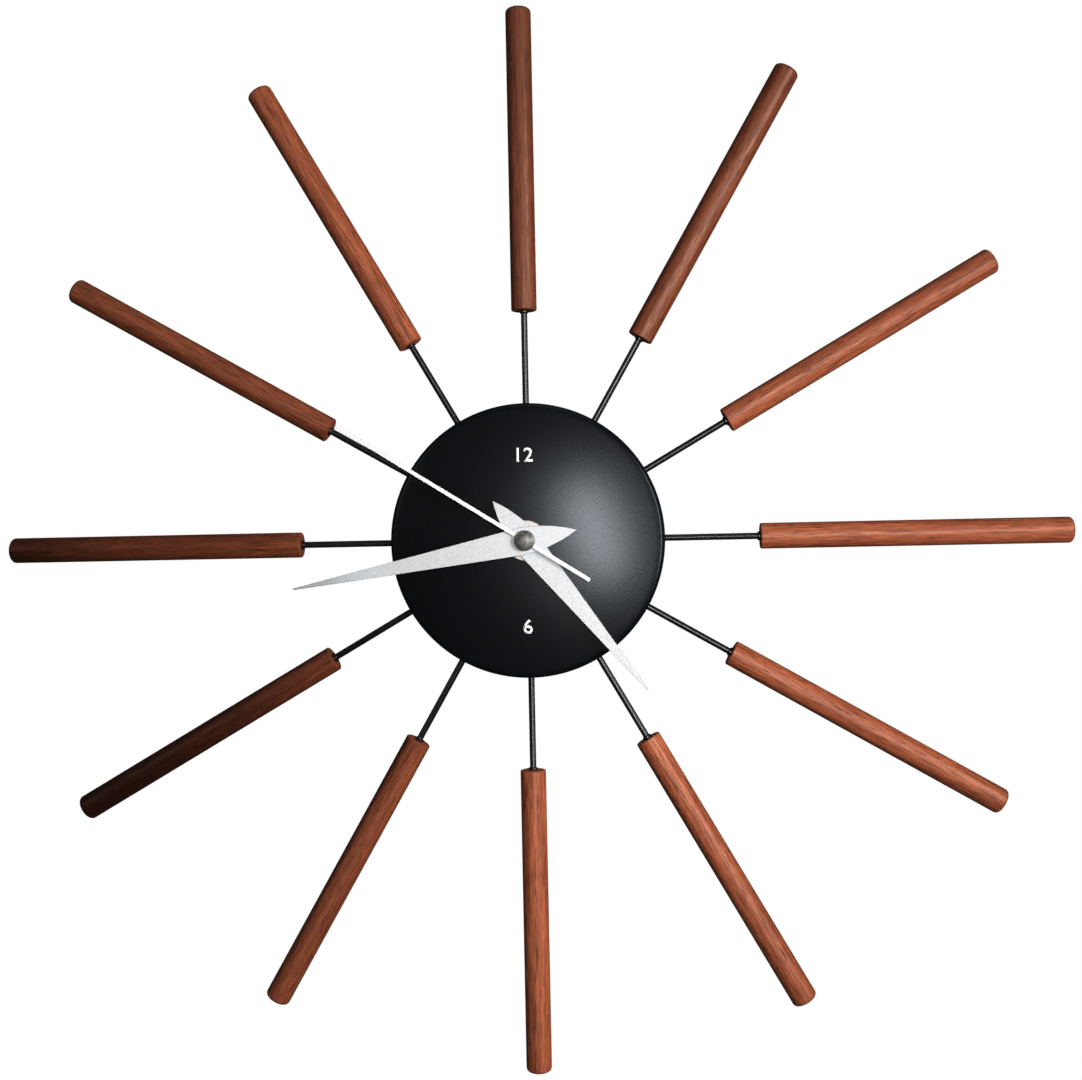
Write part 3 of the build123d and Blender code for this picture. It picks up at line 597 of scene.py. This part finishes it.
def dowel_stations(settings):
    """Outline of a dowel: broken inner edge, straight side and softly domed outer end."""
    low, high = DOWEL_LOW.x, DOWEL_HIGH.x
    side_start = low + DOWEL_CHAMFER
    side_end = high - DOWEL_CROWN - settings.rounding
    stations = [(COLLAR_RADIUS * 0.8, low), (DOWEL_RADIUS - DOWEL_CHAMFER * 2, low)]
    stations.append((DOWEL_RADIUS - DOWEL_CHAMFER, low))
    stations.append((DOWEL_RADIUS, side_start))
    for step in range(1, DOWEL_LENGTHS):
        height = side_start + (side_end - side_start) * step / DOWEL_LENGTHS
        stations.append((DOWEL_RADIUS, height))
    middle = (DOWEL_RADIUS - settings.rounding, side_end)
    stations += arc_stations(middle, settings.rounding, 0, 84, 8)
    inner_radius, inner_height = stations[-1]
    for share in (0.66, 0.33):
        rise = 0.9 * DOWEL_CROWN * (1 - share**2)
        stations.append((inner_radius * share, inner_height + rise))
    return stations


class CLOCK_OT_dowels(bpy.types.Operator):
    """Turn the twelve wood dowels and cut each from its own place in the log"""

    bl_idname = "clock.dowels"
    bl_label = "Wood dowels"

    def execute(self, context):
        settings = settings_of(context).dowels
        wood = wood_material(settings)
        draw = random.Random(settings.seed)
        pattern = close_piece(lathe("dowel_pattern", dowel_stations(settings), DOWEL_SIDES))
        for hour in range(HOURS):
            node = hour_name("wood_dowel", hour)
            dowel = bpy.data.objects.new(node + "_turned", pattern.data.copy())
            context.scene.collection.objects.link(dowel)
            log_place = [draw.uniform(-0.4, 0.4) for axis in range(3)]
            turn = draw.uniform(0, 2 * math.pi)
            grain_coordinates(dowel, turn, log_place, settings.tones_and_shade[hour])
            dowel.data.transform(to_clock(hour))
            dress(dowel, wood, "root", node)
        bpy.data.objects.remove(pattern)
        return {"FINISHED"}


# ---------------------------------------------------------------- rods
def rod_stations():
    """Outline of a rod: chamfered inner end, shoulder under the dowel and end inside it."""
    start, shoulder = ROD_LOW.x, DOWEL_LOW.x
    step = shoulder - COLLAR_LENGTH
    stations = [(ROD_RADIUS * 0.8, start), (ROD_RADIUS, start + ROD_CHAMFER)]
    hollow = (ROD_RADIUS + COLLAR_BLEND, step - COLLAR_BLEND)
    stations += arc_stations(hollow, COLLAR_BLEND, 180, 96, 5)
    corner = (COLLAR_RADIUS - COLLAR_BLEND, step + COLLAR_BLEND)
    stations += arc_stations(corner, COLLAR_BLEND, -80, 0, 5)
    stations += [(COLLAR_RADIUS, shoulder - COLLAR_BLEND / 2), (ROD_RADIUS, shoulder)]
    stations.append((ROD_RADIUS, ROD_HIGH.x))
    return stations


class CLOCK_OT_rods(bpy.types.Operator):
    """Draw the twelve enamelled rods with their shoulder under the dowel"""

    bl_idname = "clock.rods"
    bl_label = "Spoke rods"

    def execute(self, context):
        enamel = enamel_material(settings_of(context).hub)
        pattern = close_piece(lathe("rod_pattern", rod_stations(), ROD_SIDES))
        for hour in range(HOURS):
            node = hour_name("spoke_rod", hour)
            rod = bpy.data.objects.new(node + "_drawn", pattern.data.copy())
            context.scene.collection.objects.link(rod)
            rod.data.transform(to_clock(hour))
            dress(rod, enamel, "root", node)
        bpy.data.objects.remove(pattern)
        return {"FINISHED"}


# ---------------------------------------------------------------- dome
def dome_centre():
    """Height of the sphere's centre, which puts the edge of the centre hole at the CAD's."""
    return -DOME_LOW.y - math.sqrt(DOME_SPHERE**2 - DOME_HOLE**2)


def dome_wall(inset, steps):
    """Stations of the dome's wall from the hem to the centre hole, inset from the outside."""
    skirt = HUB_RADIUS - inset
    sphere = DOME_SPHERE - inset
    edge = DOME_FILLET - inset
    centre = dome_centre()
    edge_radius = skirt - edge
    edge_height = centre + math.sqrt((sphere - edge) ** 2 - edge_radius**2)
    turn = math.degrees(math.atan2(edge_height - centre, edge_radius))
    lip = math.degrees(math.acos(DOME_HOLE / sphere))
    stations = [(skirt, -DOME_HIGH.y), (skirt, edge_height * 0.5)]
    stations += arc_stations((edge_radius, edge_height), edge, 0, turn, 10)
    stations += arc_stations((0.0, centre), sphere, turn, lip, steps)[1:]
    return stations


class CLOCK_OT_dome(bpy.types.Operator):
    """Spin the dome with its skirt, rolled edge and crown"""

    bl_idname = "clock.dome"
    bl_label = "Dial dome"

    def execute(self, context):
        coat = dome_material(settings_of(context).hub)
        outside = dome_wall(0.0, 26)
        inside = dome_wall(DOME_SHEET, 10)
        stations = outside + inside[::-1] + outside[:1]
        dome = close_piece(lathe("dial_dome_spun", stations, DOME_SIDES), caps=False)
        dome.data.transform(to_dial())
        dress(dome, coat, "root", "dial_dome")
        return {"FINISHED"}


# ---------------------------------------------------------------- numerals
def dome_depth(radius):
    """Depth of the dome's outside at a distance from the axis."""
    return dome_centre() + math.sqrt(DOME_SPHERE**2 - radius**2)


class CLOCK_OT_numerals(bpy.types.Operator):
    """Print plain numerals on the dome at twelve and at six"""

    bl_idname = "clock.numerals"
    bl_label = "Numerals"

    def execute(self, context):
        settings = settings_of(context).hub
        ink = white_material("printed numerals", "second_white", settings.print_white)
        for text, side in (("12", 1), ("6", -1)):
            bpy.ops.object.select_all(action="DESELECT")
            bpy.ops.object.text_add(location=(0, 0, 0))
            numeral = context.object
            numeral.data.body = text
            numeral.data.align_x = "CENTER"
            numeral.data.align_y = "CENTER"
            numeral.data.size = settings.numeral_height / TYPE_HEIGHT
            numeral.data.offset = INK_WEIGHT
            numeral.data.space_character = 1.05
            numeral.data.resolution_u = 12
            bpy.ops.object.convert(target="MESH")
            numeral = context.object
            numeral.name = "numeral_" + text
            bpy.ops.object.mode_set(mode="EDIT")
            bpy.ops.mesh.select_all(action="SELECT")
            bpy.ops.mesh.remove_doubles(threshold=MERGE)
            bpy.ops.object.mode_set(mode="OBJECT")
            box = [Vector(corner) for corner in numeral.bound_box]
            middle = (box[0] + box[6]) / 2
            for vertex in numeral.data.vertices:
                x = vertex.co.x - middle.x
                z = vertex.co.y - middle.y + side * settings.numeral_radius
                vertex.co = Vector((x, -dome_depth(math.hypot(x, z)) - INK_FILM / 2, z))
            film = numeral.modifiers.new("film", "SOLIDIFY")
            film.thickness = INK_FILM
            film.offset = 0.0
            bpy.ops.object.modifier_apply(modifier=film.name)
            dress(numeral, ink, "root")
        return {"FINISHED"}


# ---------------------------------------------------------------- hands
class CLOCK_OT_hands(bpy.types.Operator):
    """Finish the stamped hands and their bushes"""

    bl_idname = "clock.hands"
    bl_label = "Hands"

    def execute(self, context):
        settings = settings_of(context).hands
        silver = silver_material(settings)
        # Dark colour for painted shade along the second hand's edges.
        edge_shade = shade(settings.white, 0.25)
        white = white_material("second hand lacquer", "second_white", settings.white, edge_shade)
        brass = metal_material("bush brass", "brass", (0.80, 0.66, 0.42), 0.28)
        for node in ("hour_hand", "minute_hand"):
            paint(node, silver)
            ease_edges(node, settings.edge)
        paint("second_hand", white)
        ease_edges("second_hand", settings.edge * 0.7)
        for node in ("hour_collet", "minute_collet"):
            paint(node, brass)
        return {"FINISHED"}


def cap_stations():
    """Outline of the cap: broken edge, short straight side, rolled rim and domed top."""
    base, top = -CAP_HIGH.y, -CAP_LOW.y
    rise = top - base - CAP_WALL
    sphere = (CAP_RADIUS**2 + rise**2) / (2 * rise)
    centre = top - sphere
    slope = math.asin((CAP_RADIUS - CAP_RIM) / sphere)
    start = 90 - math.degrees(slope)
    rim_height = centre + (sphere - CAP_RIM) * math.cos(slope) - CAP_RIM * 0.1
    stations = [(CAP_RADIUS - CAP_CHAMFER, base), (CAP_RADIUS, base + CAP_CHAMFER)]
    stations += arc_stations((CAP_RADIUS - CAP_RIM, rim_height), CAP_RIM, 0, start, 6)
    stations += arc_stations((0.0, centre), sphere, start, 88.5, 16)[1:]
    return stations


class CLOCK_OT_cap(bpy.types.Operator):
    """Turn the domed cap over the seconds arbor"""

    bl_idname = "clock.cap"
    bl_label = "Second hand cap"

    def execute(self, context):
        cap = close_piece(lathe("second_hand_cap_turned", cap_stations(), CAP_SIDES))
        cap.data.transform(to_dial())
        dress(cap, cap_material(), "second", "second_hand_cap")
        return {"FINISHED"}


# ---------------------------------------------------------------- fittings, back and movement
class CLOCK_OT_fittings(bpy.types.Operator):
    """Finish the nut, the washers and the rods' nuts"""

    bl_idname = "clock.fittings"
    bl_label = "Fittings"

    def execute(self, context):
        brass = metal_material("turned brass", "brass", (0.90, 0.85, 0.74), 0.34)
        zinc = metal_material("zinc plate", "zinc_steel", (0.62, 0.63, 0.64), 0.38, metallic=0.5)
        rubber = plastic_material("rubber", "rubber", (0.02, 0.02, 0.021), 0.8, 500.0)
        for node in ("centre_nut", "centre_washer"):
            paint(node, brass)
            ease_edges(node, FITTING_EDGE)
        for node in ("rod_nuts", "back_plate_screws", "seconds_arbor"):
            paint(node, zinc)
        paint("rubber_washer", rubber)
        return {"FINISHED"}


class CLOCK_OT_back(bpy.types.Operator):
    """Finish the back plate, the carrier ring and the setting knob"""

    bl_idname = "clock.back"
    bl_label = "Back"

    def execute(self, context):
        black = plastic_material("moulded black", "carrier_plastic", (0.022, 0.022, 0.024), 0.55)
        red = plastic_material("knob red", "knob_red", (0.36, 0.032, 0.024), 0.4, 1200.0)
        for node in ("back_plate", "carrier_ring"):
            paint(node, black)
        ease_edges("back_plate", PLATE_EDGE)
        paint("setting_knob", red)
        return {"FINISHED"}


class CLOCK_OT_movement(bpy.types.Operator):
    """Finish the movement: its case, train, motor, electrics and battery"""

    bl_idname = "clock.movement"
    bl_label = "Movement"

    def execute(self, context):
        case = plastic_material("case plastic", "case_plastic", (0.016, 0.016, 0.018), 0.45)
        acetal = plastic_material("natural acetal", "gear_white", (0.80, 0.80, 0.76), 0.38, 1500.0)
        tinted = plastic_material("tinted acetal", "gear_tinted", (0.66, 0.22, 0.06), 0.36, 1500.0)
        iron = metal_material("soft iron", "soft_iron", (0.46, 0.46, 0.48), 0.36, (0.05, 1, 1))
        plate = metal_material("bridge brass", "brass", (0.78, 0.62, 0.34), 0.3, (0.05, 1, 1))
        nickel = metal_material("nickel plate", "nickel", (0.72, 0.70, 0.66), 0.2)
        ferrite = plastic_material("ferrite", "magnet", (0.05, 0.05, 0.055), 0.42, 1100.0)
        epoxy = (0.012, 0.012, 0.012)
        resin = plastic_material("chip resin", "resin_black", epoxy, 0.15, 600.0, 0.1)
        finishes = {
            case: ("movement_case", "movement_cover"),
            acetal: ("hour_wheel", "centre_wheel", "third_wheel", "seconds_wheel", "minute_wheel"),
            tinted: ("intermediate_wheel", "rotor_pinion"),
            iron: ("stator", "coil_core"),
            plate: ("train_bridge",),
            nickel: ("contact_positive", "contact_negative", "quartz_crystal"),
            ferrite: ("rotor_magnet",),
            resin: ("control_chip",),
            copper_material(): ("coil_winding",),
            board_material(): ("circuit_board",),
            sleeve_material(): ("battery",),
        }
        for shader, nodes in finishes.items():
            for node in nodes:
                paint(node, shader)
        return {"FINISHED"}


# ---------------------------------------------------------------- stage
SENSOR = 36.0
CAMERA_PLACE = (0.0456, -0.6178, 0.0018)
CAMERA_TURN = (89.84, 3.73, -1.15)       # degrees about X, Y and Z
FLOOR_SIZE = 2.2
CARD_SIZE = 0.5
CARD_PLACE = (-0.358, -0.12, -0.070)
CARD_TURN = -45
SKY = (1.0, 1.0, 1.0)
ROOM = (0.032, 0.033, 0.034)


def soft_light(name, place, size, power, mirrored=True, spread=180.0, tilt=0.0):
    """Area light that looks at the clock; a light that isn't mirrored leaves no highlight."""
    light = bpy.data.lights.new(name, "AREA")
    light.shape = "RECTANGLE"
    light.size, light.size_y = size
    light.energy = power
    light.spread = math.radians(spread)
    lamp = bpy.data.objects.new(name, light)
    bpy.context.scene.collection.objects.link(lamp)
    lamp.location = place
    lamp.rotation_mode = "QUATERNION"
    aim = (-Vector(place)).to_track_quat("-Z", "Y")
    lamp.rotation_quaternion = aim @ Quaternion((0.0, 0.0, 1.0), math.radians(tilt))
    lamp.visible_glossy = mirrored
    lamp.visible_camera = False


def shade_card():
    """Card that keeps the near light off the lower left dowels; only its shadow shows."""
    bpy.ops.object.select_all(action="DESELECT")
    bpy.ops.mesh.primitive_plane_add(size=CARD_SIZE, location=(0, 0, 0))
    card = bpy.context.object
    card.name = "shade_card"
    turn = Matrix.Rotation(math.radians(CARD_TURN), 4, "Y") @ to_dial()
    card.data.transform(Matrix.Translation(Vector(CARD_PLACE)) @ turn)
    card.visible_camera = False
    card.visible_diffuse = False
    card.visible_glossy = False


def studio_world():
    """Pale surroundings for the camera and a dim room for the reflections."""
    world = bpy.data.worlds.new("studio")
    bpy.context.scene.world = world
    world.use_nodes = True
    graph = Graph(world.node_tree)
    sky = graph.tree.nodes["Background"]
    graph.feed(sky.inputs["Color"], SKY)
    room = graph.node("Background", None, {"Color": ROOM, "Strength": 1.0})
    seen = graph.node("LightPath", output="Is Camera Ray")
    shown = graph.node("MixShader", None, {0: seen, 1: room, 2: Value(graph, sky.outputs[0])})
    graph.feed(graph.tree.nodes["World Output"].inputs["Surface"], shown)


class CLOCK_OT_stage(bpy.types.Operator):
    """Set the camera, the pale floor and the soft studio lights"""

    bl_idname = "clock.stage"
    bl_label = "Stage"

    def execute(self, context):
        settings = settings_of(context).stage
        lens = bpy.data.cameras.new("camera")
        camera = bpy.data.objects.new("camera", lens)
        context.scene.collection.objects.link(camera)
        lens.lens = settings.lens
        lens.sensor_width = SENSOR
        camera.location = CAMERA_PLACE
        camera.rotation_mode = "ZYX"
        camera.rotation_euler = [math.radians(angle) for angle in CAMERA_TURN]
        context.scene.camera = camera
        bpy.ops.object.select_all(action="DESELECT")
        drop = (0, 0, -settings.floor_drop)
        bpy.ops.mesh.primitive_plane_add(size=FLOOR_SIZE, location=drop)
        floor = context.object
        floor.name = "floor"
        pale = Shader("floor", None, 0.9, Emission_Strength=0.85)
        spots = pale.noise(pale.place(), 3.0, 2.0)
        pale.set("Base Color", pale.blend(spots, (0.90, 0.90, 0.90), (0.94, 0.94, 0.94)))
        pale.set("Emission Color", (1.0, 1.0, 1.0))
        floor.data.materials.append(pale.material)
        floor.visible_diffuse = False
        floor.visible_glossy = False
        shade_card()
        studio_world()
        soft_light("key", (0.223, -1.2, 0.034), (0.13, 0.43), settings.key_power, tilt=18.0)
        soft_light("fill", (0.42, -0.55, 0.06), (0.20, 0.20), settings.fill_power, False, 80.0)
        soft_light("side", (1.0, -0.8, 0.15), (0.2, 0.9), settings.side_power)
        soft_light("left", (-1.2, -1.0, 0.5), (0.8, 0.8), settings.left_power)
        soft_light("top", (0.2, -0.4, 1.4), (1.0, 1.0), settings.left_power)
        soft_light("rear", (0.0, 1.5, 0.2), (0.8, 0.8), settings.rear_power, False)
        context.scene.view_settings.view_transform = "Standard"
        return {"FINISHED"}


# ---------------------------------------------------------------- panel and registration
OPERATORS = (
    CLOCK_OT_dowels,
    CLOCK_OT_rods,
    CLOCK_OT_dome,
    CLOCK_OT_numerals,
    CLOCK_OT_hands,
    CLOCK_OT_cap,
    CLOCK_OT_fittings,
    CLOCK_OT_back,
    CLOCK_OT_movement,
    CLOCK_OT_stage,
)


class CLOCK_PT_panel(bpy.types.Panel):
    """Lists the clock's settings and operators"""

    bl_idname = "CLOCK_PT_panel"
    bl_label = "Sunburst Clock"
    bl_space_type = "VIEW_3D"
    bl_region_type = "UI"
    bl_category = "Clock"

    def draw(self, context):
        settings = settings_of(context)
        for group in (settings.dowels, settings.hub, settings.hands, settings.stage):
            for name in group.bl_rna.properties.keys():
                if name not in ("rna_type", "name"):
                    self.layout.prop(group, name)
        for operator in OPERATORS:
            self.layout.operator(operator.bl_idname)


CLASSES = (
    DowelSettings,
    HubSettings,
    HandSettings,
    StageSettings,
    ClockSettings,
    *OPERATORS,
    CLOCK_PT_panel,
)


def register():
    """Register the classes and the scene's settings."""
    for added in CLASSES:
        bpy.utils.register_class(added)
    bpy.types.Scene.sunburst_clock = PointerProperty(type=ClockSettings)


def unregister():
    """Remove the settings and the classes."""
    del bpy.types.Scene.sunburst_clock
    for added in reversed(CLASSES):
        bpy.utils.unregister_class(added)


def main():
    """Build every piece in order."""
    register()
    bpy.ops.clock.dowels()
    bpy.ops.clock.rods()
    bpy.ops.clock.dome()
    bpy.ops.clock.numerals()
    bpy.ops.clock.hands()
    bpy.ops.clock.cap()
    bpy.ops.clock.fittings()
    bpy.ops.clock.back()
    bpy.ops.clock.movement()
    bpy.ops.clock.stage()


if __name__ == "__main__":
    main()
